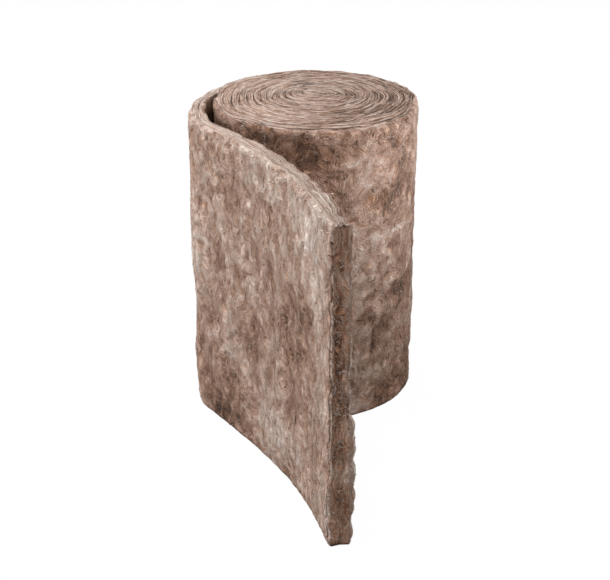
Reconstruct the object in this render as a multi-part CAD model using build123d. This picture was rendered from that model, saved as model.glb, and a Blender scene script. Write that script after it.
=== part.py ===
"""Fiberglass insulation blanket: one strip of unfaced glass wool, wound up and stood on its end.

Millimetres. The origin is on the floor, on the axis of the roll's outer turn. +Z is up, along that
axis, and -Y is the way that the loose end reaches. Seen from above, the strip winds clockwise on
its way in.
"""
import os
from math import atan2, degrees

from build123d import *

# Stock
BLANKET_WIDTH = 610.0        # 24 in wide stock, so the roll stands this tall
LOFTED_THICKNESS = 40.0      # the loose end, sprung back a little past its nominal 1.5 in
CRUSHED_EDGE = 5.0           # bevel that the cutting leaves on the soft rims
END_ROUND = 10.0             # the two upright corners of the loose end

# Winding: each half turn is a half circle, and its ends lie on one line through the eye
BACK_RADIUS = 210.0          # from the origin to the outside of the roll, at the back
FRONT_RADIUS = 199.0         # from the origin to the outside of the roll, at the front
OUTER_TURN = 17.0            # the outermost turn, which has begun to spring back
TURNS = 14                   # turns from the outside to the eye
EYE_OFFSET = 41.0            # the eye of the roll sits this far behind the origin
LINE_DIRECTION = 76.0        # degrees from +X to the line of the half turns' ends
EYE_FLAT = 42.0              # straight run of the innermost turn, which starts as a fold
FLAT_TURNS = 7               # turns over which that straight run dies out

# Turn lines, the grooves between the crushed edges of the turns on both ends of the roll
LINE_WIDTH = 5.0
LINE_DEPTH = 8.0
LINE_OVERRUN = 3.0           # degrees by which the line runs out into the gap

# Loose end, followed along its outer face from where the outer turn begins to open
PEEL_DIRECTION = 142.0       # degrees from +X
PEEL_RADIUS = 317.0
PEEL_ANGLE = 47.0
CORNER_RADIUS = 90.0         # the bend where it turns away from the roll
CORNER_ANGLE = 24.8
STRAIGHT_RUN = 168.0
SWAY_RADIUS = 1000.0         # the last stretch bends back the other way
SWAY_ANGLE = 22.3
LOFT_DISTANCE = 480.0        # the strip regains its loft over this length

# Gap between the loose end and the roll
GAP_WIDTH = 4.5              # at its root
GAP_ROUND = GAP_WIDTH / 4

BACK_PITCH = (BACK_RADIUS - OUTER_TURN - EYE_OFFSET) / (TURNS - 1)
FRONT_PITCH = (FRONT_RADIUS - OUTER_TURN + EYE_OFFSET) / (TURNS - 1)


def back_of_turn(turn):
    """Distance from the origin to the outside of a turn at the back, 0 being the outermost."""
    return BACK_RADIUS - (OUTER_TURN + (turn - 1) * BACK_PITCH if turn else 0.0)


def front_of_turn(turn):
    """The same at the front, where turn -1 is the one that opens into the loose end."""
    if turn < 1:
        return FRONT_RADIUS - turn * OUTER_TURN
    return FRONT_RADIUS - OUTER_TURN - (turn - 1) * FRONT_PITCH


def straight_run(turn):
    """Length of the straight run in a turn, which is longest in the eye."""
    return EYE_FLAT * max(0.0, 1.0 - (TURNS - 1 - turn) / FLAT_TURNS)


def half_turn(index):
    """Centre, radius and first direction of half turn 0, 1, 2 ..., clockwise on the way in.

    Even half turns lie on the right of the line and odd ones on the left. Half turn -1 is the
    outermost on the left, and opens into the loose end.
    """
    turn, on_left = divmod(index, 2)
    back = back_of_turn(turn + on_left)
    front = -front_of_turn(turn)
    sideways = straight_run(turn) / 2 * (1 if on_left else -1)
    centre = Vector((back + front) / 2, sideways).rotate(Axis.Z, LINE_DIRECTION)
    return centre, (back - front) / 2, LINE_DIRECTION - 180 * on_left


def loft(distance):
    """Thickness of the loose end at this distance along it, growing to its full loft."""
    share = min(distance / LOFT_DISTANCE, 1.0)
    return OUTER_TURN + (LOFTED_THICKNESS - OUTER_TURN) * share * share * (3.0 - 2.0 * share)


def outer_face(outer_turn):
    """The outer face of the loose end, as tangent arcs that leave the outer turn."""
    peel = JernArc(outer_turn @ 1, outer_turn % 1, PEEL_RADIUS, PEEL_ANGLE)
    corner = JernArc(peel @ 1, peel % 1, CORNER_RADIUS, CORNER_ANGLE)
    run = Line(corner @ 1, corner @ 1 + (corner % 1) * STRAIGHT_RUN)
    sway = JernArc(run @ 1, run % 1, SWAY_RADIUS, -SWAY_ANGLE)
    return [peel, corner, run, sway]


def inner_face(outer):
    """The other face, as tangent arcs from the gap's root, one thickness in from the outer face."""
    face = Wire(outer)
    roll_centre, roll_radius, _ = half_turn(1)

    def across(distance):
        share = distance / face.length
        return face @ share + (face % share).rotate(Axis.Z, 90) * loft(distance)

    distance = 0.0
    while (across(distance) - roll_centre).length < roll_radius + GAP_WIDTH:
        distance += 1.0
    arcs = []
    travelled = 0.0
    start = across(distance)
    heading = across(distance + 1) - start
    for stretch in outer:
        travelled += stretch.length
        arcs.append(TangentArc(start, across(travelled), tangent=heading))
        start, heading = arcs[-1] @ 1, arcs[-1] % 1
    return arcs


def direction_from(centre, point):
    """Direction from a centre to a point, in degrees from +X."""
    return degrees(atan2(point.Y - centre.Y, point.X - centre.X)) % 360


def blanket_plan():
    """The strip seen from above, and the direction of the gap's root from its half turn's centre."""
    outer_centre, outer_radius, _ = half_turn(-1)
    right_centre, right_radius, right_start = half_turn(0)
    left_centre, left_radius, left_start = half_turn(1)
    outer_turn = CenterArc(outer_centre, outer_radius, LINE_DIRECTION, PEEL_DIRECTION - LINE_DIRECTION)
    right = CenterArc(right_centre, right_radius, right_start - 180, 180)
    outer = outer_face(outer_turn)
    inner = inner_face(outer)
    gap_direction = direction_from(left_centre, inner[0] @ 0)
    left = CenterArc(left_centre, left_radius, gap_direction, left_start + 360 - gap_direction)
    end = Line(outer[-1] @ 1, inner[-1] @ 1)
    root = Line(inner[0] @ 0, left @ 0)
    plan = Face(Wire([root, left, right, outer_turn, *outer, end, *inner]))
    plan = plan.fillet_2d(END_ROUND, corners_of(plan, end))
    return plan.fillet_2d(GAP_ROUND, corners_of(plan, root)), gap_direction


def corners_of(plan, edge):
    """The two corners of the plan that an edge joins."""
    return [plan.vertices().sort_by_distance(edge @ 0)[0], plan.vertices().sort_by_distance(edge @ 1)[0]]


def groove_section(centre, radius, direction):
    """Upright section of a turn line, a V cut down from z = 0, in this direction from the centre.

    The V goes on above z = 0 at the same slope, so it is LINE_WIDTH wide where it meets the end.
    """
    corners = [(radius, -LINE_DEPTH), (radius + LINE_WIDTH, LINE_DEPTH), (radius - LINE_WIDTH, LINE_DEPTH)]
    section = Face(Wire.make_polygon([Vector(x, 0, z) for x, z in corners]))
    return Pos(centre) * Rot(0, 0, direction) * section


def turn_line(gap_direction):
    """The turn line of the top end, to cut out: from the root of the gap to the fold in the eye."""
    pieces = []
    for index in range(1, 2 * TURNS):
        centre, radius, start = half_turn(index)
        finish = start - 180.0
        if index == 1:
            start, finish = gap_direction + LINE_OVERRUN, LINE_DIRECTION
        bend = groove_section(centre, radius, start)
        pieces.append(revolve(bend, Axis(centre, (0, 0, -1)), start - finish))
        run = (straight_run(index // 2) + straight_run((index + 1) // 2)) / 2
        if run:
            onward = Vector(1, 0).rotate(Axis.Z, finish - 90)
            pieces.append(extrude(groove_section(centre, radius, finish), run, dir=onward))
    return pieces


def blanket():
    """The whole blanket: its plan raised to the full width, with crushed rims and turn lines."""
    plan, gap_direction = blanket_plan()
    body = extrude(plan, BLANKET_WIDTH, dir=(0, 0, 1))
    ends = body.faces().sort_by(Axis.Z)
    body = chamfer(ends[0].edges() + ends[-1].edges(), CRUSHED_EDGE)
    top = [Pos(0, 0, BLANKET_WIDTH) * piece for piece in turn_line(gap_direction)]
    bottom = [mirror(piece, about=Plane.XY.offset(BLANKET_WIDTH / 2)) for piece in top]
    return body - top - bottom


if __name__ == "__main__":
    os.makedirs("parts", exist_ok=True)
    export_step(blanket(), "parts/insulation_blanket.step")
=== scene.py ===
"""An opened roll of unfaced glass wool blanket, standing on its cut end.

The blanket is one closed mesh built along the real strip, so its turns, layers and torn faces are
geometry. Loose fibres are further meshes of thin strands. Lengths are millimetres until a mesh is made.
"""
import math

import bpy
import numpy as np
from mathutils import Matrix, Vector


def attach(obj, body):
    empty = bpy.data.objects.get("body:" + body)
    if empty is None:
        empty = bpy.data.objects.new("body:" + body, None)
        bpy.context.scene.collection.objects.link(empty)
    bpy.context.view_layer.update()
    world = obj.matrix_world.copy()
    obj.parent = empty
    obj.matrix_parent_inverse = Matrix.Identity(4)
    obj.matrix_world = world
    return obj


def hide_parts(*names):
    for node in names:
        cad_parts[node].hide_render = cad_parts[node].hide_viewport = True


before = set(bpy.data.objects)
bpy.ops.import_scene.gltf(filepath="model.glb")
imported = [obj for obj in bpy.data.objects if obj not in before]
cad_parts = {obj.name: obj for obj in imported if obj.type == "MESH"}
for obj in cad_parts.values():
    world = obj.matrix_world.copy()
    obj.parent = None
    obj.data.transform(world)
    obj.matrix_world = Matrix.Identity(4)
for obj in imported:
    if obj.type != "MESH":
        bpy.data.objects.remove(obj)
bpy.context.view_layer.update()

NODE = "insulation_blanket"
MM = 0.001

# Stock and winding, with the sizes of the solid
WIDTH = 610.0                # of the blanket, so the roll stands this tall
LOFT = 40.0                  # thickness of the loose end, sprung back
OUTER_TURN = 17.0            # thickness of the outermost turn
BACK_RADIUS = 210.0
FRONT_RADIUS = 199.0
TURNS = 14
EYE_OFFSET = 41.0            # the eye sits this far behind the origin
LINE_DIRECTION = 76.0        # degrees to the line on which the half turns end
EYE_FLAT = 42.0              # straight run of the fold in the eye
FLAT_TURNS = 7               # turns over which that run dies out
BACK_PITCH = (BACK_RADIUS - OUTER_TURN - EYE_OFFSET) / (TURNS - 1)
FRONT_PITCH = (FRONT_RADIUS - OUTER_TURN + EYE_OFFSET) / (TURNS - 1)
PEEL_DIRECTION = 142.0       # degrees to where the outer turn opens
PEEL = (317.0, 47.0)         # radius and angle of the loose end's bends
CORNER = (90.0, 24.8)
STRAIGHT_RUN = 168.0
SWAY = (1000.0, -22.3)
LOFT_DISTANCE = 480.0        # over which it springs back
TURN_LENGTH = 2 * math.pi * 205              # once round the outermost turn

# Mesh density
STEP = 1.5                   # degrees between columns on the roll
PER_TURN = int(360 / STEP)
COLUMN = 5.6                 # along the loose end
ROW = 5.7                    # up the faces
ACROSS = np.array([0.0, 0.12, 0.32, 0.5, 0.68, 0.88, 1.0])   # columns across one thickness
UNDER = np.array([0.0, 0.5, 1.0])                            # the same on the hidden lower end
ROOT_STEPS = 15              # columns from where the outer turn opens to the root of the gap
ROOT_REACH = 200.0           # the root lies within this length of the route
TIP_COLUMNS = np.array([12.0, 8.5, 5.5, 3.0, 0.0])           # close columns at the free end
TURN_DEPTH = 14.4            # how far one turn counts in the flow across the ends

rng = np.random.default_rng(20)


# Numbers that look random

def lattice(cells, seed):
    """A repeatable number from -1 to 1 for each whole-numbered place."""
    n = cells[..., 0] * 73856093 ^ cells[..., 1] * 19349663 ^ cells[..., 2] * 83492791 ^ seed * 2654435761
    n = (n ^ (n >> 13)) * 1274126177 & 0x7FFFFFFF
    n = (n ^ (n >> 15)) * 1103515245 & 0x7FFFFFFF
    return (n >> 7 & 0xFFFF) / 32767.5 - 1.0


def noise(points, size, seed=0):
    """Smooth noise from about -1 to 1, with features of this size along each axis."""
    scaled = points / np.asarray(size, float)
    cell = np.floor(scaled).astype(np.int64)
    part = scaled - cell
    part = part * part * part * (part * (part * 6 - 15) + 10)
    total = np.zeros(points.shape[:-1])
    for corner in np.ndindex(2, 2, 2):
        weight = np.prod(np.where(corner, part, 1 - part), axis=-1)
        total += weight * lattice(cell + np.array(corner), seed)
    return total


def cloud(points, size, octaves, seed=0, rough=0.5):
    """Noise at several scales, each half the size of the one before."""
    total, weight, reach = 0.0, 1.0, 0.0
    for octave in range(octaves):
        total = total + weight * noise(points, np.asarray(size, float) / 2 ** octave, seed + 31 * octave)
        reach += weight
        weight *= rough
    return total / reach


def smooth(low, high, value):
    """0 below low, 1 above high, and an even S between them."""
    share = np.clip((value - low) / (high - low), 0.0, 1.0)
    return share * share * (3 - 2 * share)


# The strip in plan

def direction(degrees):
    """The unit direction at this many degrees from +X."""
    angle = np.radians(degrees)
    return np.stack([np.cos(angle), np.sin(angle)], -1)


def back_of_turn(turn):
    """Distance from the origin to the outside of a turn at the back, 0 being the outermost."""
    return BACK_RADIUS - (OUTER_TURN + (turn - 1) * BACK_PITCH if turn else 0.0)


def front_of_turn(turn):
    """The same at the front, where turn -1 is the one that opens into the loose end."""
    if turn < 1:
        return FRONT_RADIUS - turn * OUTER_TURN
    return FRONT_RADIUS - OUTER_TURN - (turn - 1) * FRONT_PITCH


def half_turn(index):
    """Centre, radius, straight run and first direction of a half turn, as in the solid."""
    turn, on_left = divmod(index, 2)
    back, front = back_of_turn(turn + on_left), -front_of_turn(turn)
    run = EYE_FLAT * max(0.0, 1.0 - (TURNS - 1 - turn) / FLAT_TURNS)
    centre = (back + front) / 2 * direction(LINE_DIRECTION)
    return centre, (back - front) / 2, run, LINE_DIRECTION - 180 * on_left


def oval(centre, radius, run, degrees):
    """Points on a half turn, which its straight run draws out sideways."""
    side = LINE_DIRECTION - 90
    reach = run / 2 * np.cos(np.radians(degrees - side))
    return centre + radius * direction(degrees) + reach[..., None] * direction(side)


def winding():
    """Points on the line between the turns, from where the outer turn opens to the eye."""
    points = []
    for index in range(-1, 2 * TURNS):
        centre, radius, run, start = half_turn(index)
        first = PEEL_DIRECTION - 360 if index == -1 else start
        points.append(oval(centre, radius, run, np.arange(first, start - 180, -STEP)))
    points.append(EYE_OFFSET * direction(LINE_DIRECTION)[None])
    return np.concatenate(points)


def eye_fold():
    """The fold in the eye, as the inner edge of the innermost turn."""
    degrees = LINE_DIRECTION - STEP * np.arange(1, PER_TURN + 1)
    centre = EYE_OFFSET * direction(LINE_DIRECTION)
    return oval(centre, 0.0, EYE_FLAT, degrees)


def outer_route():
    """Close points and headings along the outer face of the loose end, from where it opens."""
    centre, radius, _, _ = half_turn(-1)
    place, heading = centre + radius * direction(PEEL_DIRECTION), PEEL_DIRECTION + 90
    points, headings = [place], [heading]
    for bend in (PEEL, CORNER, (STRAIGHT_RUN, 0.0), SWAY):
        length = bend[0] if bend[1] == 0 else math.radians(abs(bend[1])) * bend[0]
        steps = max(2, round(length))
        for _ in range(steps):
            heading += bend[1] / steps / 2
            place = place + direction(heading) * length / steps
            heading += bend[1] / steps / 2
            points.append(place)
            headings.append(heading)
    return np.array(points), np.array(headings)


def lofted(distance):
    """Thickness of the loose end at this distance along it."""
    return OUTER_TURN + (LOFT - OUTER_TURN) * smooth(0.0, LOFT_DISTANCE, distance)


def strip_lines():
    """Outer and inner edge of the strip in plan, from the free end to the eye.

    The third value is the number of columns on the loose end.
    """
    points, headings = outer_route()
    length = np.concatenate([[0.0], np.cumsum(np.linalg.norm(np.diff(points, axis=0), axis=1))])
    away = points - half_turn(1)[0]
    seen = np.degrees(np.arctan2(away[:, 1], away[:, 0])) % 360
    near = length < ROOT_REACH
    steps = PEEL_DIRECTION + STEP * np.arange(1, ROOT_STEPS + 1)
    root = np.interp(steps, seen[near], length[near])
    whole = length[-1]
    count = round((whole - root[-1]) / COLUMN)
    run = np.linspace(root[-1], whole, count + 1)[1:-2]
    stops = np.concatenate([root, run, whole - TIP_COLUMNS])
    outer = np.stack([np.interp(stops, length, points[:, axis]) for axis in (0, 1)], -1)
    heading = np.interp(stops, length, headings)
    inner = outer + direction(heading + 90) * lofted(stops)[:, None]
    wound = winding()
    following = np.concatenate([wound[PER_TURN:], eye_fold()])
    inner[:ROOT_STEPS] = wound[PER_TURN - 1:PER_TURN - 1 - ROOT_STEPS:-1]
    outer = np.concatenate([outer[::-1], wound])
    inner = np.concatenate([inner[::-1], following])
    return outer, inner, len(stops)


outer_line, inner_line, flap_columns = strip_lines()
columns = len(outer_line)
flap_root = flap_columns - ROOT_STEPS          # column where the gap opens, on the loose end
roll_root = flap_root + PER_TURN               # and the same place on the roll
travel = np.concatenate([[0.0], np.cumsum(np.linalg.norm(np.diff(outer_line, axis=0), axis=1))])


# Forms that the photograph shows

def smooth_between(value, start, full, fall, end):
    """Rises from 0 to 1 between start and full, and falls back to 0 between fall and end."""
    return smooth(start, full, value) * (1 - smooth(fall, end, value))


SAG = 9.0                    # by which the loose end's top edge has sunk at its free end
SLUMP = 9.0                  # by which the outermost turn has sunk at the roll's front right


def top_drop(distance):
    """How far the top edge of the loose end has sunk at this distance from its free end."""
    return SAG * (1 - smooth(60.0, 420.0, distance))


def slump(distance):
    """1 where the outermost turn has slumped, and 0 elsewhere."""
    return smooth_between((distance - travel[flap_columns]) / TURN_LENGTH, 0.36, 0.46, 0.56, 0.66)


def wall_relief(flow, roll):
    """Millimetres by which a face stands out, from its distance along, its height and its depth.

    roll is 0 on the loose end, where the wool is teased out in tall tufts, and 1 on the roll,
    where it lies in rounder clouds.
    """
    waves = 3.4 * cloud(flow, (150, 170, 300), 2, 1)
    warp = np.stack([noise(flow, (45, 60, 90), 5), noise(flow, (45, 60, 90), 6), 0 * flow[..., 1]], -1)
    bent = flow + warp * [11.0, 14.0, 0.0]
    tall = 1 - 2 * np.abs(cloud(bent, (30, 44, 60), 3, 11))
    round_ = 1 - 2 * np.abs(cloud(bent, (44, 36, 60), 3, 12))
    fine = cloud(bent, (11, 15, 40), 2, 17)
    return waves + 2.5 * ((1 - roll) * tall + roll * round_) - 1.3 + 1.8 * fine


# Stains and pale drifts, with painted shade and a painted highlight among them: distance along,
# height, half length, half height, and how much paler, or darker, below 0. The dark patches under
# the roll's rim beside the loose end, the thin dark crease on the roll, the dark patch at the loose
# end's foot and the darker lower part of the cut face are painted shade; the pale strips at the
# free end's inner lip are a painted highlight. From -1000 to -960 lies the cut face of the free
# end, and lower distances are on the inner face.
PATCHES = [
    (1575, 520, 60, 55, 0.10), (1521, 381, 55, 9, 0.15), (1628, 535, 60, 8, 0.10),
    (1542, 95, 50, 8, 0.08), (1537, 442, 28, 22, -0.04), (1569, 152, 5, 40, -0.16),
    (1580, 90, 90, 60, -0.02), (1660, 545, 40, 40, -0.08), (510, 36, 50, 34, -0.14),
    (449, 300, 60, 70, -0.05), (371, 225, 60, 60, -0.06), (337, 470, 40, 60, -0.03),
    (45, 330, 55, 330, 0.09), (130, 560, 120, 40, 0.08), (580, 420, 50, 190, 0.10),
    (240, 560, 60, 30, 0.05), (1845, 590, 75, 26, -0.13), (1765, 580, 60, 34, -0.12),
    (1720, 555, 40, 40, -0.10), (1600, 585, 90, 26, -0.08), (1590, 330, 60, 50, -0.05),
    (-980, 110, 24, 150, -0.05), (-1004, 300, 9, 400, 0.22), (-968, 300, 6, 400, 0.14),
    (1542, 500, 20, 26, 0.12), (1526, 318, 18, 26, 0.11),
]


def wall_shade(along, z, is_end):
    """How much paler than the plain wool each place on the walls is, or darker, below 0.

    Stains and drifts of the wool, with painted shade and painted highlights among them.
    """
    place = np.stack(np.broadcast_arrays(along, z, 0.0), -1)
    streaks = noise(place, (8, 46, 1), 91) + 0.7 * noise(place, (8, 17, 1), 92)
    # The cut face has streaks of torn fibre, and is darker: partly the torn wool's own tone and partly
    # painted shade.
    torn = (0.06 * streaks - 0.055) * is_end
    # Painted shade along the foot, where the wool meets the floor.
    floor_contact_shade = -0.16 * (1 - smooth(0, 9, z))
    # Paler along the top edge of the loose end: a painted highlight where its rounded rim meets the light.
    rim = smooth(576, 598, z) * smooth(-30, 0, along) * (1 - smooth(800, 1150, along))
    shade = torn + floor_contact_shade + 0.085 * rim * (1 + 0.9 * noise(place, (17, 17, 1), 93))
    for at, height, half_along, half_up, amount in PATCHES:
        reach = ((along - at) / half_along) ** 2 + ((z - height) / half_up) ** 2
        shade = shade + amount * np.exp(-reach)
    return shade


def cut_relief(flow):
    """Millimetres by which the cut wool stands up on an end, along its layers."""
    return 1.5 * cloud(flow, (40, 40, 5.2), 3, 41) + 1.3 * cloud(flow, (20, 20, 12), 2, 47)


def layer_line(flow, seed, share):
    """Depth from 0 to 1 of a line between layers, which comes and goes along its length."""
    return smooth(share - 0.35, share + 0.15, cloud(flow, (60, 60, 22), 2, seed))


# The blanket as one mesh

def left_of(line):
    """Directions square to a line in plan, on the left of the way it runs."""
    ahead = np.gradient(line, axis=0)
    ahead /= np.maximum(np.linalg.norm(ahead, axis=1, keepdims=True), 1e-9)
    return np.stack([-ahead[:, 1], ahead[:, 0]], -1)


def rounded(distance, radius):
    """How far a rounded corner stands in from a square one, at this distance from the corner."""
    reach = np.clip(radius - distance, 0.0, radius)
    return radius - np.sqrt(radius ** 2 - reach ** 2)


class Surface:
    """Points and faces of a closed mesh, with marks that its material reads."""

    def __init__(self):
        self.points, self.relief, self.roll, self.shade = [], [], [], []
        self.faces, self.flow, self.cut = [], [], []
        self.count = 0

    def add(self, points, relief, roll, shade):
        """Adds an array of points and gives back an array of their numbers."""
        numbers = self.count + np.arange(relief.size).reshape(relief.shape)
        self.points.append(points.reshape(-1, 3))
        self.relief.append(relief.ravel())
        self.roll.append(np.broadcast_to(roll, relief.shape).ravel())
        self.shade.append(np.broadcast_to(shade, relief.shape).ravel())
        self.count += relief.size
        return numbers

    def grid(self, numbers, flow, cut, flip=False):
        """Adds the faces between the rows and columns of an array of point numbers."""
        corners = [(0, 0), (1, 0), (1, 1), (0, 1)]
        if flip:
            corners.reverse()
        rows, cols = numbers.shape
        pick = [(slice(a, rows - 1 + a), slice(b, cols - 1 + b)) for a, b in corners]
        faces = np.stack([numbers[p] for p in pick], -1).reshape(-1, 4)
        places = np.stack([flow[p] for p in pick], -2).reshape(-1, 4, 3)
        self.polygons(faces, places, cut)

    def polygons(self, faces, places, cut):
        """Adds faces with a place in the flow for each corner, without any repeated corners."""
        for face, place in zip(faces.tolist(), places.tolist()):
            kept = [k for k in range(len(face)) if face[k] != face[k - 1]]
            if len(kept) > 2:
                self.faces.append([face[k] for k in kept])
                self.flow.extend(place[k] for k in kept)
                self.cut.extend([cut] * len(kept))

    def mesh(self, name):
        """The mesh, without unused points, and with the marks that its material reads."""
        mesh = bpy.data.meshes.new(name)
        corners = np.array([number for face in self.faces for number in face])
        used, renumbered = np.unique(corners, return_inverse=True)
        sizes = np.cumsum([len(face) for face in self.faces])[:-1]
        faces = [part.tolist() for part in np.split(renumbered, sizes)]
        mesh.from_pydata((np.concatenate(self.points)[used] * MM).tolist(), [], faces)
        for label, values in (("relief", self.relief), ("roll", self.roll), ("shade", self.shade)):
            mark = mesh.attributes.new(label, "FLOAT", "POINT")
            mark.data.foreach_set("value", np.concatenate(values)[used])
        flow = mesh.attributes.new("flow", "FLOAT_VECTOR", "CORNER")
        flow.data.foreach_set("vector", np.array(self.flow).ravel() * MM)
        cut = mesh.attributes.new("cut", "FLOAT", "CORNER")
        cut.data.foreach_set("value", np.array(self.cut, float))
        mesh.polygons.foreach_set("use_smooth", np.ones(len(mesh.polygons), bool))
        return mesh


TIP_ROUND = 9.0              # upright corners of the free end
TIP_CORNER = TIP_ROUND * (1 - math.sqrt(0.5))
END_HOLLOW = 5.0             # the middle of the free end stands in between its two lips
END_ALONG = -1000.0          # where the free end lies in the flow, away from the outer face
RIM_INSET = 6.0              # the top rim is rounded inwards by this much
RIM_HEIGHT = 11.0            # over this height
RIM_DROP = 2.0               # and lies this far below the crowned end
FOOT_INSET = 2.5             # the same at the floor
FOOT_HEIGHT = 6.0


def wall_columns():
    """The closed line of the walls in plan: base points, directions, and marks for each column.

    It runs along the outer face and round the outermost turn to the root of the gap, back along
    the inner face, and across the free end.
    """
    out_left, in_left = left_of(outer_line), left_of(inner_line)
    tip_in = rounded(travel, TIP_ROUND)
    tip_in[0] = TIP_CORNER
    outer = outer_line - out_left * tip_in[:, None]
    inner = inner_line + in_left * tip_in[:, None]
    inwards = outer_line[5] - outer_line[0]
    inwards /= np.linalg.norm(inwards)
    outer[0] += inwards * TIP_CORNER
    inner[0] += inwards * TIP_CORNER
    share = ACROSS[-2:0:-1]
    width = np.linalg.norm(inner_line[0] - outer_line[0])
    deep = rounded(np.minimum(share, 1 - share) * width, TIP_ROUND)
    deep = deep + END_HOLLOW * np.sin(share * math.pi) ** 1.5
    end = outer_line[0] + (inner_line[0] - outer_line[0]) * share[:, None] + inwards * deep[:, None]
    outside, inside = slice(0, roll_root + 1), slice(flap_root - 1, None, -1)
    out_facing, in_facing = out_left[outside], -in_left[inside]
    out_facing[0] = (out_left[0] - inwards) / math.sqrt(2)
    in_facing[-1] = (-in_left[0] - inwards) / math.sqrt(2)
    end_facing = np.repeat(-inwards[None], len(share), 0)
    points = np.concatenate([outer[outside], inner[inside], end])
    facing = np.concatenate([out_facing, in_facing, end_facing])
    counts = [roll_root + 1, flap_root, len(share)]
    along = np.concatenate([travel[outside], END_ALONG - travel[inside], END_ALONG + share * width])
    on_roll = smooth(-60, 60, travel[outside] - travel[flap_columns])
    roll = np.concatenate([on_roll, np.full(counts[1], 0.35), np.zeros(counts[2])])
    distance = np.concatenate([travel[outside], travel[inside], np.zeros(counts[2])])
    is_end = np.repeat([0.0, 0.0, 1.0], counts)
    return points, facing, along, roll, distance, is_end


def top_rim(flat, distance, on_turn, is_end):
    """How far in and over what height each column is rounded at its top, and how high it reaches."""
    sunk = slump(distance) * on_turn
    turned = (distance - travel[flap_columns]) / TURN_LENGTH
    from_root = np.minimum(np.abs(np.arange(len(flat)) - roll_root) / 12.0, 1.0)
    inset = RIM_INSET + 2.0 * noise(flat, 30, 3) + 7.0 * sunk
    inset -= 4.0 * on_turn * (1 - smooth(0.28, 0.45, turned))
    inset *= np.where(is_end, 0.5, 1.0) * (0.25 + 0.75 * from_root)
    height = RIM_HEIGHT + 3.0 * noise(flat, 45, 4) + 9.0 * sunk
    return inset, height, WIDTH - top_drop(distance) - RIM_DROP - SLUMP * sunk


def swelling(distance, z, on_outer, on_turn, is_end):
    """Millimetres by which the walls lean out or in over their height."""
    leftmost = travel[np.argmin(outer_line[:, 0])]
    two_bulges = smooth(150, 420, z) + 1.1 * np.exp(-((z - 110) / 75) ** 2)
    belly = 6.0 * np.exp(-((distance - leftmost) / 90) ** 2) * two_bulges * on_outer
    inner_lip = 5.0 * smooth(80, 5, distance) * (1 - 2.0 * smooth(150, 420, z)) * ~on_outer
    outer_lip = 5.0 * smooth(34, 0, distance) ** 2 * smooth(60, 260, z) * on_outer
    foot = 3.0 * np.exp(-(z / 30) ** 2) * on_turn
    return belly + (inner_lip - outer_lip) * (1 - is_end) + foot


def walls(surface):
    """The upright faces. Gives back the numbers and places of their points, by column and row."""
    points, facing, along, roll, distance, is_end = wall_columns()
    count = len(points)
    column = np.arange(count)
    flat = np.stack([along, 0 * along, 0 * along], -1)
    on_outer = column <= roll_root
    on_turn = smooth(flap_columns - 30, flap_columns + 30, column) * on_outer
    inset, height, top = top_rim(flat, distance, on_turn, is_end)
    middle = round((WIDTH - 30) / ROW)
    levels, stands = [], []
    for angle in np.radians([0, 30, 60, 90]):
        levels.append(np.full(count, FOOT_HEIGHT * (1 - math.cos(angle))))
        stands.append(np.full(count, -FOOT_INSET * (1 - math.sin(angle))))
    for k in range(1, middle):
        levels.append(FOOT_HEIGHT + (top - height - FOOT_HEIGHT) * k / middle)
        stands.append(np.zeros(count))
    for angle in np.radians([0, 24, 48, 70, 90]):
        levels.append(top - height * (1 - math.sin(angle)))
        stands.append(-inset * (1 - math.cos(angle)))
    z, stand = np.stack(levels, -1), np.stack(stands, -1)
    flow = np.stack([np.broadcast_to(along[:, None], z.shape), z, np.zeros(z.shape)], -1)

    ends = is_end[:, None]
    relief = wall_relief(flow, roll[:, None]) * np.where(ends, 0.9, 1.0)
    calm = 0.45 + 0.55 * smooth(0, 20, z)
    ragged = cloud(flow, (24, 30, 60), 2, 23) * smooth(WIDTH - 45, WIDTH - 12, z)
    lips = smooth(26, 4, distance)[:, None] * (1 - ends)
    stand = stand + relief * calm + 4.5 * ragged + 7.0 * lips * cloud(flow, (60, 24, 60), 2, 29)
    stand = stand + swelling(distance[:, None], z, on_outer[:, None], on_turn[:, None], ends)
    plan = points[:, None] + facing[:, None] * stand[..., None]
    full = np.concatenate([plan, z[..., None]], -1)
    full[:, :, 2] = np.maximum(full[:, :, 2], 0.0)

    shade = wall_shade(along[:, None], z, ends)
    numbers = surface.add(full, relief, roll[:, None], shade)
    closed = np.concatenate([numbers, numbers[:1]])
    closed_flow = np.concatenate([flow, flow[:1] + [END_ALONG, 0, 0]])
    first = count - int(is_end.sum()) - 1
    surface.grid(closed[:first + 1], closed_flow[:first + 1], 0.0, flip=True)
    surface.grid(closed[first:], closed_flow[first:], -1.0, flip=True)
    return numbers, full


TURN_DRIFT = 7.0             # by which the turns wander from their even winding
TURN_LINE = 4.0              # depth of the line between two turns
LAYER_LINE = 2.6             # depth of the lines between the layers of one turn
CROWN = 2.6                  # the top end stands this far above its rims
HIDDEN_LIFT = 1.5            # the lower end hollows to about twice this height between its turns


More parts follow.
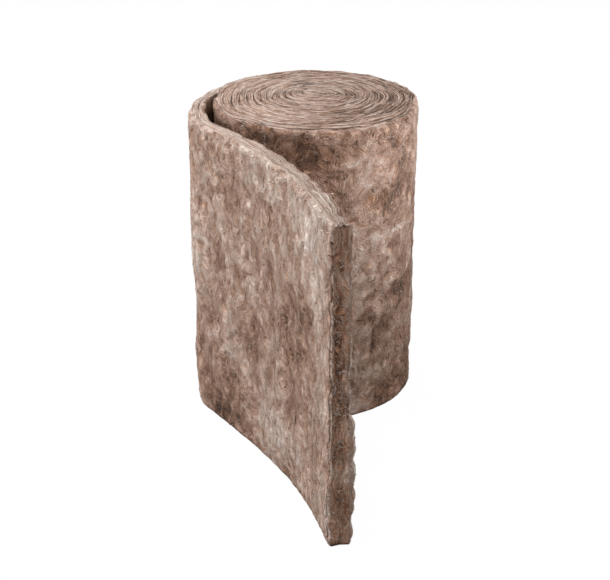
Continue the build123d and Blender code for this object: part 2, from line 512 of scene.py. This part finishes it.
def wound_top(plan, flow, wound, rim):
    """The top end's plan, relief and height, from its even plan and the height of its rims."""
    column = np.arange(columns)[:, None]
    free_in, free_out = column < flap_root, column <= roll_root
    drift = np.stack([cloud(flow * [1, 1, 0], 75, 2, seed) for seed in (61, 62)], -1)
    plan = plan + drift * (TURN_DRIFT * smooth(0.3, 1.6, wound + ACROSS))[..., None]
    between_turns = (ACROSS == 0) & ~free_out | (ACROSS == 1) & ~free_in
    between_layers = np.isin(ACROSS, (0.32, 0.68))
    lines = TURN_LINE * layer_line(flow, 71, -0.3) * between_turns
    lines = lines + LAYER_LINE * layer_line(flow, 72, 0.0) * between_layers
    relief = cut_relief(flow) - lines - 0.6
    from_outer, from_inner = np.where(free_out, ACROSS, 1), np.where(free_in, 1 - ACROSS, 1)
    hold = smooth(0.0, 0.3, from_outer) * smooth(0.0, 0.3, from_inner)
    arched = free_out & (ACROSS < 0.5) | free_in & (ACROSS > 0.5)
    crown = CROWN * np.where(arched, 1 - (2 * ACROSS - 1) ** 2, 1.0)
    return plan, relief, rim + crown * hold + relief * (0.25 + 0.75 * hold)


def folded(half_way):
    """For each column of the innermost turn, the column that it meets in the fold."""
    turn = np.arange(1, 2 * half_way + 1)
    return np.where(turn <= half_way, np.minimum(turn, half_way - turn),
                    np.minimum(turn, 3 * half_way - turn))


def cap(surface, numbers, wall, top):
    """One cut end, from the highest or lowest row of the walls to the fold in the eye."""
    row = -1 if top else 0
    shares = ACROSS if top else UNDER
    last = len(shares) - 1
    on_outer = slice(0, roll_root + 1)
    on_inner = slice(roll_root + 1, roll_root + 1 + flap_root)
    on_end = slice(roll_root + 1 + flap_root, None)
    within = slice(flap_root, -PER_TURN)
    outer, inner = outer_line.copy(), inner_line.copy()
    outer_z = np.full(columns, WIDTH if top else 0.0)
    inner_z = outer_z.copy()
    outer[on_outer], outer_z[on_outer] = wall[on_outer, row, :2], wall[on_outer, row, 2]
    inner[:flap_root], inner_z[:flap_root] = wall[on_inner, row, :2][::-1], wall[on_inner, row, 2][::-1]
    inner[within], inner_z[within] = outer[flap_root + PER_TURN:], outer_z[flap_root + PER_TURN:]

    loose_thickness = np.linalg.norm(inner_line - outer_line, axis=1)
    thickness = np.where(np.arange(columns) < flap_columns, loose_thickness, TURN_DEPTH)
    wound = ((np.arange(columns) - flap_columns) / PER_TURN)[:, None]
    plan = outer[:, None] + (inner - outer)[:, None] * shares[:, None]
    depth = wound * TURN_DEPTH + thickness[:, None] * shares
    flow = np.concatenate([plan, depth[..., None]], -1)
    if top:
        rim = outer_z[:, None] + (inner_z - outer_z)[:, None] * shares
        plan, relief, z = wound_top(plan, flow, wound, rim)
        # Paler than the walls and paler still on the loose end: partly the cut wool's own tone and partly
        # painted light on the upturned end. Darker towards +X is painted shade.
        shade = 0.05 + 0.14 * (1 - smooth(-0.3, 0.2, wound)) - 0.11 * smooth(-200, 190, plan[..., 0])
    else:
        relief = 1.5 * cut_relief(flow) - HIDDEN_LIFT
        z = np.maximum(0.0, HIDDEN_LIFT - relief)
        shade = np.zeros(z.shape)

    ids = np.zeros((columns, last + 1), int)
    places = np.concatenate([plan, z[..., None]], -1)
    ids[:, :last] = surface.add(places[:, :last], relief[:, :last], 1.0, shade[:, :last])
    ids[on_outer, 0] = numbers[on_outer, row]
    ids[:flap_root, last] = numbers[on_inner, row][::-1]
    ids[within, last] = ids[flap_root + PER_TURN:, 0]
    eye = ids[-1, 0]
    half_way = PER_TURN // 2
    meets = folded(half_way)
    # The fold's relief mark is 3 mm lower than its shape, which paints shade into the eye.
    fold = surface.add(places[-PER_TURN:, last], relief[-PER_TURN:, last] - 3.0, 1.0, 0.0)
    ids[-PER_TURN:, last] = fold[meets - 1]
    ids[-PER_TURN:, last][np.isin(meets, (0, half_way))] = eye
    ids[-1] = eye

    end_row = numbers[on_end, row][::-1]
    if top:
        ids[0, 1:-1] = end_row
        surface.grid(ids, flow, 1.0, flip=True)
    else:
        surface.grid(ids[1:], flow[1:], 1.0)
        close_free_end(surface, ids, flow, end_row)
    return places


def close_free_end(surface, ids, flow, end_row):
    """Two faces that join the lower end, which has few columns across, to the free end's many."""
    ring = np.concatenate([ids[0, :1], end_row, ids[0, -1:]])
    place = flow[0, 0] + (flow[0, -1] - flow[0, 0]) * ACROSS[:, None]
    middle = len(ring) // 2
    for low, high, a, b in ((0, middle, 0, 1), (middle, len(ring) - 1, 1, 2)):
        face = np.array([[*ring[low:high + 1], ids[1, b], ids[1, a]]])[:, ::-1]
        spots = np.concatenate([place[low:high + 1], flow[1, b][None], flow[1, a][None]])[None, ::-1]
        surface.polygons(face, spots, 1.0)


def placed(name, mesh, material):
    """Puts a mesh in the scene as soft wool that stands for the solid and rides with it."""
    piece = bpy.data.objects.new(name, mesh)
    bpy.context.collection.objects.link(piece)
    mesh.materials.append(material)
    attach(piece, "root")
    return piece


def build_blanket(material):
    """The whole blanket as one closed surface, and the grids of points that loose fibres lie on."""
    surface = Surface()
    numbers, wall = walls(surface)
    top = cap(surface, numbers, wall, top=True)
    cap(surface, numbers, wall, top=False)
    piece = placed("blanket_wool", surface.mesh("blanket_wool"), material)
    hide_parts(NODE)
    return wall, top


# Loose fibres. Real ones are a few thousandths of a millimetre thick, too fine to show, so each
# strand stands for a bundle or a wisp and is drawn as wide as one.

FACE_FIBRES = 9500
EDGE_TUFTS = 3000
END_STRATA = 1200
JOINTS = 5                   # points along a strand, its two pointed ends among them
LINE = np.linspace(-0.5, 0.5, JOINTS)
LONG_ROW = 50                # row and column of the walls on which lengths are measured
TALL_COLUMN = 60
FIBRE_CLEARANCE = 1.6        # lowest middle line of a strand, so that it stays above the floor
TUFT_CLEARANCE = 2.1
FOLLOWS_WALL = 1.6           # how strongly a strand's tone follows the wall's marks, painted shade and highlights too


def strands(name, places, facing, width, height, tone, material):
    """Closed, pointed strands of three sides that lie along rows of points.

    places and facing are arrays of strands by points by 3, in millimetres.
    """
    ahead = np.gradient(places, axis=1)
    across = np.cross(facing, ahead)
    across /= np.maximum(np.linalg.norm(across, axis=2, keepdims=True), 1e-9)
    middle = slice(1, JOINTS - 1)
    swell = np.array([0.8, 1.0, 0.7])[:, None]
    wide = across[:, middle] * (width[:, None, None] / 2 * swell)
    tall = facing[:, middle] * (height[:, None, None] * swell)
    rings = np.stack([places[:, middle] - wide, places[:, middle] + wide, places[:, middle] + tall], 2)
    count = len(places)
    points = np.concatenate([places[:, :1], rings.reshape(count, -1, 3), places[:, -1:]], 1)
    each = points.shape[1]
    faces = []
    for side in range(3):
        a, b = 1 + side, 1 + (side + 1) % 3
        faces.append((0, b, a))
        for ring in range(JOINTS - 3):
            low, high = 3 * ring, 3 * ring + 3
            faces.append((low + a, low + b, high + b))
            faces.append((low + a, high + b, high + a))
        low = 3 * (JOINTS - 3)
        faces.append((low + a, low + b, each - 1))
    faces = (np.array(faces)[None] + each * np.arange(count)[:, None, None]).reshape(-1, 3)
    mesh = bpy.data.meshes.new(name)
    mesh.from_pydata((points.reshape(-1, 3) * MM).tolist(), [], faces.tolist())
    mark = mesh.attributes.new("tone", "FLOAT", "POINT")
    mark.data.foreach_set("value", np.repeat(tone, each))
    mesh.polygons.foreach_set("use_smooth", np.ones(len(mesh.polygons), bool))
    return placed(name, mesh, material)


def sample(grid, first, second):
    """Values of a grid of points at fractional places, evenly blended between its points."""
    first = np.clip(first, 0, grid.shape[0] - 1.001)
    second = np.clip(second, 0, grid.shape[1] - 1.001)
    i, j = first.astype(int), second.astype(int)
    f, g = (first - i)[..., None], (second - j)[..., None]
    return ((grid[i, j] * (1 - f) + grid[i + 1, j] * f) * (1 - g)
            + (grid[i, j + 1] * (1 - f) + grid[i + 1, j + 1] * f) * g)


def facing_of(grid):
    """Directions square to a grid of points."""
    away = np.cross(np.gradient(grid, axis=0), np.gradient(grid, axis=1))
    return away / np.maximum(np.linalg.norm(away, axis=2, keepdims=True), 1e-9)


def paths(start, lean, length, bend):
    """Rows of points that start here, lean from the upright, and bend evenly, in a flat face."""
    angle = np.radians(lean)[:, None] + np.radians(bend)[:, None] * LINE
    step = length[:, None] / (JOINTS - 1)
    moves = np.stack([np.sin(angle), np.cos(angle)], -1) * step[..., None]
    return start[:, None] + np.cumsum(moves, 1)


def face_fibres(wall, material):
    """Fibres and wisps that have worked loose from the upright faces and lie along them.

    As they rise, they lean a little towards the free end on the loose end, and away from it on
    the roll.
    """
    count = FACE_FIBRES
    closed = np.concatenate([wall, wall[:1]])
    lengths = np.linalg.norm(np.diff(closed[:, LONG_ROW, :2], axis=0), axis=1)
    columns_along = np.concatenate([[0], np.cumsum(lengths)])
    facing = facing_of(closed)
    rows_up = closed[TALL_COLUMN, :, 2]
    start = np.stack([rng.uniform(0, columns_along[-1], count), rng.uniform(8, 590, count)], -1)
    spot = np.stack([start[:, 0], start[:, 1], 0 * start[:, 0]], -1)
    on_roll = smooth(travel[flap_columns] - 60, travel[flap_columns] + 60, start[:, 0])
    field = 120 * cloud(spot, (90, 110, 90), 2, 81)
    on_flap_lean = -21 + field + rng.normal(0, 32, count)
    on_roll_lean = 35 + field + rng.normal(0, 38, count)
    lean = (1 - on_roll) * on_flap_lean + on_roll * on_roll_lean
    kind = rng.random(count)
    thin, broad = kind < 0.70, kind > 0.93
    length = rng.uniform(22, 62, count) * np.where(broad, 0.6, 1.0)
    hairs, wisps, bundles = [rng.uniform(low, high, count) for low, high in
                             ((0.5, 1.0), (3.0, 5.5), (1.2, 2.4))]
    width = np.where(thin, hairs, np.where(broad, wisps, bundles))
    route = paths(start, lean, length, rng.normal(0, 60, count))
    first = np.interp(route[..., 0] % columns_along[-1], columns_along, np.arange(len(columns_along)))
    second = np.interp(route[..., 1], rows_up, np.arange(len(rows_up)))
    out = sample(facing, first, second)
    out /= np.linalg.norm(out, axis=2, keepdims=True)
    lift = np.array([-1.2, 0.25, 0.55, 0.2, -1.2]) * np.where(thin, 1.5, 0.8)[:, None]
    places = sample(closed, first, second) + out * lift[..., None]
    places[..., 2] = np.maximum(places[..., 2], FIBRE_CLEARANCE)
    height = np.where(thin, 0.5, np.where(broad, 1.5, 1.0)) * rng.uniform(0.8, 1.3, count)
    tone = rng.normal(0.54, 0.17, count) + FOLLOWS_WALL * wall_shade(start[:, 0], start[:, 1], 0.0)
    return strands("face_fibres", places, out, width, height, np.clip(tone, 0, 1), material)


def end_strata(top, material):
    """Layers of the mat that stand up as loose threads along the turns of the cut end."""
    count = END_STRATA
    is_loose = rng.random(count) < 0.2
    on_loose_end, on_both = rng.uniform(0, flap_columns, count), rng.uniform(0, columns - 12, count)
    column = np.where(is_loose, on_loose_end, on_both)
    across = rng.uniform(1.1, len(ACROSS) - 2.1, count)
    length = rng.uniform(18, 80, count)
    spacing = np.interp(column, np.arange(columns), np.gradient(travel))
    reach = np.minimum(length / np.maximum(spacing, 0.8), 50)
    first = column[:, None] + reach[:, None] * LINE
    second = across[:, None] + rng.normal(0, 0.5, count)[:, None] * LINE
    places = sample(top, first, second)
    places[..., 2] += np.array([-0.9, 0.2, 0.5, 0.2, -0.9]) * rng.uniform(0.3, 1.5, count)[:, None]
    places[..., :2] += rng.normal(0, 0.9, places[..., :2].shape)
    up = np.broadcast_to([0.0, 0.0, 1.0], places.shape)
    width = rng.uniform(0.3, 0.8, count)
    tone = np.clip(rng.normal(0.56, 0.14, count), 0, 1)
    return strands("end_strata", places, up, width, 0.7 * width ** 0.5, tone, material)


def edge_tufts(wall, material):
    """Torn tufts that hug the free end's two lips, the top rim and the foot."""
    count = EDGE_TUFTS
    closed = np.concatenate([wall, wall[:1]])
    facing = facing_of(closed)
    top_row = closed.shape[1] - 1
    pick = rng.random(count)
    on_lip, on_rim = pick < 0.36, pick < 0.85
    on_outer_lip = rng.random(count) < 0.5
    outer_lip, inner_lip = rng.normal(0, 1.2, count), rng.normal(len(wall) - 5, 1.2, count)
    anywhere = rng.uniform(0, len(wall), count)
    column = np.where(on_lip, np.where(on_outer_lip, outer_lip, inner_lip), anywhere)
    lip_row, from_top, from_foot = [rng.uniform(low, high, count) for low, high in
                                    ((2, top_row), (0, 5), (1, 5))]
    row = np.where(on_lip, lip_row, np.where(on_rim, top_row - from_top, from_foot))
    upright, level = rng.normal(90, 35, count), rng.normal(0, 30, count)
    turn = np.radians(np.where(on_lip, upright, level))
    length = rng.uniform(10, 34, count)
    first = column[:, None] + (np.cos(turn) * length / 5.3)[:, None] * LINE
    second = np.clip(row[:, None] + (np.sin(turn) * length / ROW)[:, None] * LINE, 0, top_row)
    out = sample(facing, first % len(wall), second)
    out /= np.maximum(np.linalg.norm(out, axis=2, keepdims=True), 1e-9)
    lift = np.array([-1.4, 0.3, 0.9, 0.3, -1.4]) * rng.uniform(0.5, 1.6, count)[:, None]
    places = sample(closed, first % len(wall), second) + out * lift[..., None]
    places[..., 2] = np.maximum(places[..., 2], TUFT_CLEARANCE)
    is_hair = rng.random(count) < 0.3
    hairs, tufts = rng.uniform(0.6, 1.2, count), rng.uniform(1.6, 4.0, count)
    width = np.where(is_hair, hairs, tufts)
    along = wall_columns()[2][(column % len(wall)).astype(int)]
    tone = rng.normal(0.5, 0.13, count) + FOLLOWS_WALL * wall_shade(along, places[:, 2, 2], 0.0)
    return strands("edge_tufts", places, out, width, 0.5 * width, np.clip(tone, 0, 1), material)


# Materials. Sizes of patterns are millimetres, as all sizes here, until they reach a node.

STEADY = 1000.0              # size along a direction in which a pattern doesn't change
WOOL_TONES = [               # brown binder to nearly clear glass, also used for painted shade and painted light
    (0.0, "#3E271B"), (0.25, "#83604B"), (0.5, "#B3917E"), (0.75, "#D3BBAD"), (1.0, "#EEE1D8")]
FIBRE_TONES = [(0.0, "#6A5042"), (0.35, "#9A7F71"), (0.65, "#BEA496"), (1.0, "#E0CFC4")]


def linear(colour):
    """An sRGB hex colour as Blender's linear values."""
    channels = [int(colour[k:k + 2], 16) / 255 for k in (1, 3, 5)]
    return (*[c / 12.92 if c <= 0.04045 else ((c + 0.055) / 1.055) ** 2.4 for c in channels], 1.0)


def node(tree, kind, links=None, **settings):
    """Adds a shader node, sets its properties, and links or sets its inputs by name or number."""
    made = tree.nodes.new("ShaderNode" + kind)
    for name, value in settings.items():
        setattr(made, name, value)
    for name, value in (links or {}).items():
        socket = made.inputs[name]
        if isinstance(value, bpy.types.NodeSocket):
            tree.links.new(value, socket)
        else:
            socket.default_value = value
    return made


def ramp(tree, share, stops):
    """A colour for each value from 0 to 1, blended between stops of a place and a hex colour."""
    made = node(tree, "ValToRGB", {"Fac": share})
    elements = made.color_ramp.elements
    while len(elements) < len(stops):
        elements.new(0.5)
    for element, (position, colour) in zip(elements, stops):
        element.position, element.color = position, linear(colour)
    return made.outputs["Color"]


def span(tree, value, low, high, to_low=0.0, to_high=1.0):
    """Maps a value from one range to another, without going past the ends."""
    made = node(tree, "MapRange", {"Value": value, "From Min": low, "From Max": high,
                                   "To Min": to_low, "To Max": to_high})
    return made.outputs["Result"]


def arithmetic(tree, kind, a, b=0.0):
    """One step of arithmetic on one or two values."""
    return node(tree, "Math", {0: a, 1: b}, operation=kind).outputs[0]


def vector_step(tree, kind, a, b):
    """One step of arithmetic on two vectors."""
    return node(tree, "VectorMath", {0: a, 1: b}, operation=kind).outputs[0]


def scatter(tree, flow, size, detail=3.0, warp=0.0, seed=0.0, output="Fac"):
    """Fractal noise with features of this size along each axis of the flow."""
    scaled = vector_step(tree, "MULTIPLY", flow, [1 / (s * MM) for s in size])
    moved = vector_step(tree, "ADD", scaled, (seed, seed * 1.7, seed * 0.6))
    made = node(tree, "TexNoise", {"Vector": moved, "Scale": 1.0, "Detail": detail, "Roughness": 0.6,
                                   "Distortion": warp})
    return made.outputs[output]


def swirl(tree, flow, size, reach, seed):
    """Pushes the flow about by up to this reach, so that what follows it curls."""
    push = scatter(tree, flow, size, 2.0, 0.0, seed, "Color")
    centred = vector_step(tree, "SUBTRACT", push, (0.5, 0.5, 0.5))
    scaled = vector_step(tree, "MULTIPLY", centred, (reach * MM, reach * MM, reach * MM / 3))
    return vector_step(tree, "ADD", flow, scaled)


def near(tree, value, centre, reach):
    """1 where a value is at this centre, falling to 0 at this distance from it."""
    away = arithmetic(tree, "ABSOLUTE", arithmetic(tree, "SUBTRACT", value, centre))
    return span(tree, away, 0.0, reach, 1.0, 0.0)


def strokes(tree, flow, lean, size, seed):
    """Pale strokes of fibre, 0 to 1, that lean from the upright by this many degrees."""
    turned = node(tree, "VectorRotate", {"Vector": flow, "Angle": math.radians(lean)},
                  rotation_type="Z_AXIS").outputs[0]
    return near(tree, scatter(tree, turned, size, 2.5, 0.4, seed), 0.5, 0.085)


def blend(tree, share, a, b):
    """The first value at a share of 0, and the second at 1."""
    return node(tree, "Mix", {0: share, 2: a, 3: b}, data_type="FLOAT").outputs[0]


def total(tree, *parts):
    """The sum of values, each times its weight."""
    made = 0.0
    for value, weight in parts:
        made = node(tree, "Math", {0: value, 1: weight, 2: made}, operation="MULTIPLY_ADD").outputs[0]
    return made


def blank(name):
    """A new material and its empty node tree."""
    material = bpy.data.materials.new(name)
    material.use_nodes = True
    material.node_tree.nodes.clear()
    return material, material.node_tree


def mesh_mark(tree, name, output="Fac"):
    """A mark that the mesh carries."""
    return node(tree, "Attribute", attribute_name=name).outputs[output]


def teased_face(tree, flow, roll, cut):
    """Pattern of the faces from 0 to 1, and its fibres alone.

    Wool lies in tufts and clouds 13 to 22 mm across, which are single flocks of the mat, and in
    drifts of 50 to 60 mm. Bundles of fibre are under a millimetre wide, and are drawn at 1.4 to
    3.4 mm, which is as fine as the render shows. The free end is torn along the same fibres.
    """
    curled = swirl(tree, flow, (70, 85, STEADY), 85, 3.0)
    teased = swirl(tree, curled, (28, 32, STEADY), 22, 8.0)
    tufts = scatter(tree, teased, (13, 21, STEADY), 5.0, 0.4, 1.0)
    flocks = scatter(tree, teased, (22, 18, STEADY), 5.0, 0.5, 2.0)
    clouds = scatter(tree, curled, (50, 60, STEADY), 2.0, 0.0, 4.0)
    # Small dark pits are painted shade in the holes between tufts.
    shaded_pits = span(tree, scatter(tree, teased, (4.8, 14, STEADY), 2.0, 0.4, 6.0), 0.60, 0.72)
    upright = strokes(tree, teased, 12, (3.2, 20, STEADY), 1.0)
    leaning = strokes(tree, teased, -38, (3.0, 20, STEADY), 5.0)
    crossing = strokes(tree, curled, 64, (3.4, 30, STEADY), 9.0)
    hair = strokes(tree, teased, -12, (1.4, 10, STEADY), 12.0)
    fibre = total(tree, (upright, 0.22), (leaning, 0.30), (crossing, 0.28), (hair, 0.20))
    patchy = arithmetic(tree, "MULTIPLY", arithmetic(tree, "SUBTRACT", clouds, 0.5),
                        span(tree, roll, 0, 1, 0.23, 0.16))
    lumps = blend(tree, roll, tufts, flocks)
    face = total(tree, (lumps, 0.45), (patchy, 1.0), (fibre, 0.28), (shaded_pits, -0.22))
    face = arithmetic(tree, "ADD", face, 0.204)
    split = scatter(tree, curled, (3.6, 40, STEADY), 4.0, 0.3, 21.0)
    torn = arithmetic(tree, "SUBTRACT", total(tree, (split, 0.95), (fibre, 0.20)), 0.04)
    return blend(tree, span(tree, cut, -1, 0, 0.8, 0.0), face, torn), fibre


def layered_end(tree, flow):
    """Pattern of the cut ends from 0 to 1, where the mat shows its layers on edge.

    One layer is 3.8 mm thick, and its frayed edges are drawn 1.4 mm wide. A dark seam and a pale
    crest follow each turn, and come and go along it.
    """
    bent = swirl(tree, flow, (24, 24, 12), 7.5, 16.0)
    layers = scatter(tree, bent, (90, 90, 3.8), 3.0, 0.10, 2.0)
    edges = scatter(tree, bent, (16, 16, 1.4), 4.0, 0.4, 5.0)
    depth = node(tree, "SeparateXYZ", {0: flow}).outputs["Z"]
    turn = arithmetic(tree, "PINGPONG", arithmetic(tree, "DIVIDE", depth, TURN_DEPTH * MM), 0.5)
    kept = span(tree, scatter(tree, flow, (50, 50, 12), 2.0, 0.0, 14.0), 0.34, 0.50)
    seams = arithmetic(tree, "MULTIPLY", span(tree, turn, 0.01, 0.07, 1.0, 0.0), kept)
    crests = arithmetic(tree, "MULTIPLY", near(tree, turn, 0.20, 0.14), kept)
    end = total(tree, (layers, 0.56), (edges, 0.66), (seams, -0.24), (crests, 0.11))
    return arithmetic(tree, "SUBTRACT", end, 0.125)


def glass_wool():
    """Spun glass wool with a brown binder.

    Molten glass is spun into hair-fine fibres that fall in a tangled mat, sprayed with binder and
    cured in an oven. The fibres catch the light in pale drifts, and the binder shows brown between
    them. It scatters light all round, so it is rough with next to no gloss and a faint sheen.
    """
    material, tree = blank("glass_wool")
    flow, cut, roll = mesh_mark(tree, "flow", "Vector"), mesh_mark(tree, "cut"), mesh_mark(tree, "roll")
    face, fibre = teased_face(tree, flow, roll, cut)
    both = blend(tree, cut, face, layered_end(tree, flow))
    # Painted shade in the hollows of the relief and painted light on its crests. The shade mark adds
    # stains, painted shade and painted highlights.
    painted_relief_shade = span(tree, mesh_mark(tree, "relief"), -6.0, 4.0, -0.24, 0.15)
    shade = total(tree, (both, 1.0), (painted_relief_shade, 1.0), (mesh_mark(tree, "shade"), 1.0))
    colour = ramp(tree, span(tree, shade, 0.26, 0.78), WOOL_TONES)
    faded = blend(tree, cut, 1.05, span(tree, both, 0.38, 0.66, 1.02, 0.70))
    richness = arithmetic(tree, "ADD", faded, span(tree, cut, -1, 0, 0.14, 0.0))
    toned = node(tree, "HueSaturation", {"Hue": span(tree, cut, 0, 1, 0.500, 0.503),
                                         "Saturation": richness,
                                         "Value": span(tree, cut, -1, 0, 1.2, 1.0),
                                         "Color": colour}).outputs[0]
    height = total(tree, (both, 1.0), (fibre, 0.25))
    lift = node(tree, "Bump", {"Height": height, "Strength": 0.9, "Distance": 9 * MM}).outputs["Normal"]
    wool = node(tree, "BsdfPrincipled", {"Base Color": toned, "Roughness": 0.95, "Normal": lift,
                                         "Specular IOR Level": 0.04, "Sheen Weight": 0.12,
                                         "Sheen Roughness": 0.6})
    node(tree, "OutputMaterial", {"Surface": wool.outputs[0]})
    return material


def loose_fibre(name, richness):
    """Single glass fibres and thin wisps, which are nearly clear and so paler than the mat."""
    material, tree = blank(name)
    colour = ramp(tree, mesh_mark(tree, "tone"), FIBRE_TONES)
    toned = node(tree, "HueSaturation", {"Hue": 0.503, "Saturation": richness, "Color": colour}).outputs[0]
    fibre = node(tree, "BsdfPrincipled", {"Base Color": toned, "Roughness": 0.85,
                                          "Specular IOR Level": 0.08, "Sheen Weight": 0.1})
    node(tree, "OutputMaterial", {"Surface": fibre.outputs[0]})
    return material


# Camera, floor and light, in metres

def camera():
    """The photograph's viewpoint, fitted to the two rims of the roll."""
    data = bpy.data.cameras.new("camera")
    data.lens = 83.63
    seen = bpy.data.objects.new("camera", data)
    seen.location = (-0.016, -2.699, 1.432)
    seen.rotation_euler = (math.radians(65.38), 0, 0)
    bpy.context.collection.objects.link(seen)
    bpy.context.scene.camera = seen


def lamp(name, place, target, power, size, cone=None, tint=(1.0, 1.0, 1.0)):
    """A soft lamp of this size in metres, or with a cone in degrees, a spot of this radius."""
    data = bpy.data.lights.new(name, "SPOT" if cone else "AREA")
    data.energy, data.color = power, tint
    if cone:
        data.shadow_soft_size, data.spot_size, data.spot_blend = size, math.radians(cone), 1.0
    else:
        data.size = size
    made = bpy.data.objects.new(name, data)
    made.location = place
    made.rotation_euler = (Vector(target) - Vector(place)).to_track_quat("-Z", "Y").to_euler()
    bpy.context.collection.objects.link(made)


FLOOR_GLOW = 0.9             # share of the floor's look that is plain white, so shadows stay faint


def floor():
    """A white floor that keeps a faint shadow and otherwise meets the white background."""
    mesh = bpy.data.meshes.new("floor")
    mesh.from_pydata([(-6, -6, 0), (6, -6, 0), (6, 6, 0), (-6, 6, 0)], [], [(0, 1, 2, 3)])
    piece = bpy.data.objects.new("floor", mesh)
    bpy.context.collection.objects.link(piece)
    material, tree = blank("white_sweep")
    seen = node(tree, "LightPath").outputs["Is Camera Ray"]
    paper = node(tree, "BsdfDiffuse", {"Color": linear("#A8A8A8")}).outputs[0]
    glow = node(tree, "Emission", {"Color": (1, 1, 1, 1), "Strength": 1.08}).outputs[0]
    faint = node(tree, "MixShader", {0: FLOOR_GLOW, 1: paper, 2: glow}).outputs[0]
    mixed = node(tree, "MixShader", {0: seen, 1: paper, 2: faint}).outputs[0]
    node(tree, "OutputMaterial", {"Surface": mixed})
    mesh.materials.append(material)


def surroundings():
    """A white background, and a soft, slightly warm fill on the wool from all round."""
    world = bpy.data.worlds.new("studio")
    world.use_nodes = True
    tree = world.node_tree
    tree.nodes.clear()
    seen = node(tree, "LightPath").outputs["Is Camera Ray"]
    white = node(tree, "Background", {"Color": (1, 1, 1, 1), "Strength": 1.0}).outputs[0]
    fill = node(tree, "Background", {"Color": linear("#F8EFE8"), "Strength": 0.52}).outputs[0]
    mixed = node(tree, "MixShader", {0: seen, 1: fill, 2: white}).outputs[0]
    node(tree, "OutputWorld", {"Surface": mixed})
    bpy.context.scene.world = world


# The scene. The fibres keep this order, because they share one run of random numbers.

camera()
wall_grid, top_grid = build_blanket(glass_wool())
loose = loose_fibre("loose_glass_fibre", 0.86)
face_fibres(wall_grid, loose)
edge_tufts(wall_grid, loose)
end_strata(top_grid, loose_fibre("cut_glass_fibre", 0.72))
floor()
surroundings()
# Powers are watts. The snoot is a narrow spot that brings out the front of the roll.
lamp("window", (-2.4, 0.1, 1.7), (0, -0.1, 0.35), 60, 1.0)
lamp("overhead", (-1.1, 0.4, 2.5), (0, 0, 0.6), 50, 1.6)
lamp("side", (1.5, -0.12, 0.9), (0.05, 0, 0.5), 11, 0.5)
lamp("snoot", (2.0, -1.5, 1.1), (0.15, -0.14, 0.58), 320, 0.2, cone=15, tint=(0.96, 0.985, 1.0))
lamp("front", (0.6, -3.2, 0.8), (0, -0.3, 0.3), 12, 1.0)
bpy.context.scene.view_settings.view_transform = "Standard"
